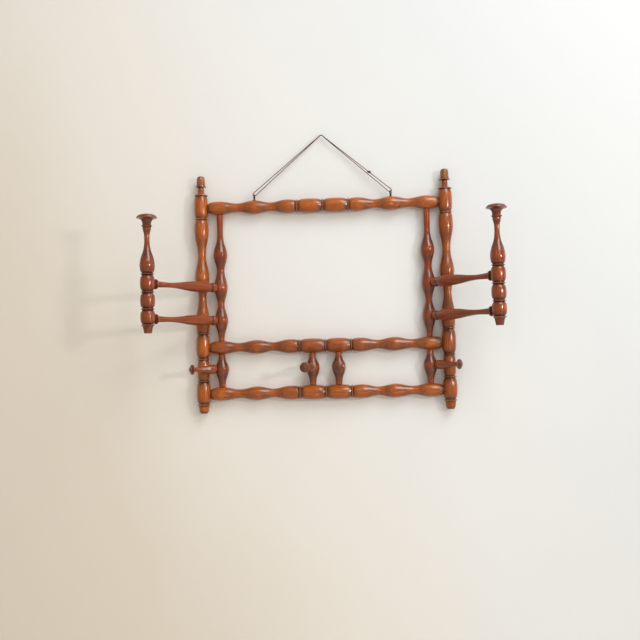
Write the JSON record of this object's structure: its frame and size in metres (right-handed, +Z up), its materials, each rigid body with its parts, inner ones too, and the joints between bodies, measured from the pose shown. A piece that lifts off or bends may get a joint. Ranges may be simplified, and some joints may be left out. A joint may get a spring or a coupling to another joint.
{
  "type": "wall coat rack",
  "caption": "Turned-wood wall coat rack with swinging hat-post gates and swivelling coat pegs, hung by a doubled string over a nail.",
  "frame": {"origin": "where the hanging string passes over the nail, on the face of the wall", "axes": "+X to the right as one faces the rack, +Y into the wall, +Z up"},
  "size_m": [0.8549, 0.2038, 0.6912],
  "materials": {
    "honey_wood": "glossy varnished, orange-brown with darker grooves and edges",
    "red_wood": "glossy varnished, dark red-brown",
    "iron": "dark, dull wire",
    "string": "twisted brown twine"
  },
  "bodies": {
    "frame": {"left_post": "honey_wood", "right_post": "honey_wood", "top_rail": "honey_wood", "middle_rail": "honey_wood", "bottom_rail": "honey_wood", "left_screw_eye": "iron", "right_screw_eye": "iron", "hanging_cord": "string", "cord_knot": "string"},
    "left_gate": {"left_gate_spindle": "red_wood", "left_lower_arm": "red_wood", "left_upper_arm": "red_wood", "left_hat_post": "red_wood"},
    "right_gate": {"right_gate_spindle": "red_wood", "right_lower_arm": "red_wood", "right_upper_arm": "red_wood", "right_hat_post": "red_wood"},
    "left_swivel_peg": {"left_peg_spindle": "red_wood", "left_peg": "red_wood"},
    "right_swivel_peg": {"right_peg_spindle": "red_wood", "right_peg": "red_wood"},
    "centre_left_swivel_peg": {"centre_left_peg_spindle": "red_wood", "centre_left_peg": "red_wood"},
    "centre_right_swivel_peg": {"centre_right_peg_spindle": "red_wood", "centre_right_peg": "red_wood"}
  },
  "joints": [
    {"name": "left_gate_swing", "type": "hinge", "parent": "frame", "child": "left_gate", "pos_m": [-0.2574, -0.0186, -0.416], "axis": [0, 0, 1], "range_deg": [-9, 127]},
    {"name": "right_gate_swing", "type": "hinge", "parent": "frame", "child": "right_gate", "pos_m": [0.2574, -0.0186, -0.416], "axis": [0, 0, -1], "range_deg": [-8.5, 127.5]},
    {"name": "left_peg_swivel", "type": "hinge", "parent": "frame", "child": "left_swivel_peg", "pos_m": [-0.2574, -0.0186, -0.5787], "axis": [0, 0, 1], "range_deg": [-5, 140]},
    {"name": "right_peg_swivel", "type": "hinge", "parent": "frame", "child": "right_swivel_peg", "pos_m": [0.2574, -0.0186, -0.5787], "axis": [0, 0, -1], "range_deg": [-5, 140]},
    {"name": "centre_left_peg_swivel", "type": "hinge", "parent": "frame", "child": "centre_left_swivel_peg", "pos_m": [-0.03215, -0.0186, -0.5787], "axis": [0, 0, 1], "range_deg": [-80, 22]},
    {"name": "centre_right_peg_swivel", "type": "hinge", "parent": "frame", "child": "centre_right_swivel_peg", "pos_m": [0.03215, -0.0186, -0.5787], "axis": [0, 0, -1], "range_deg": [-88, 14]}
  ]
}
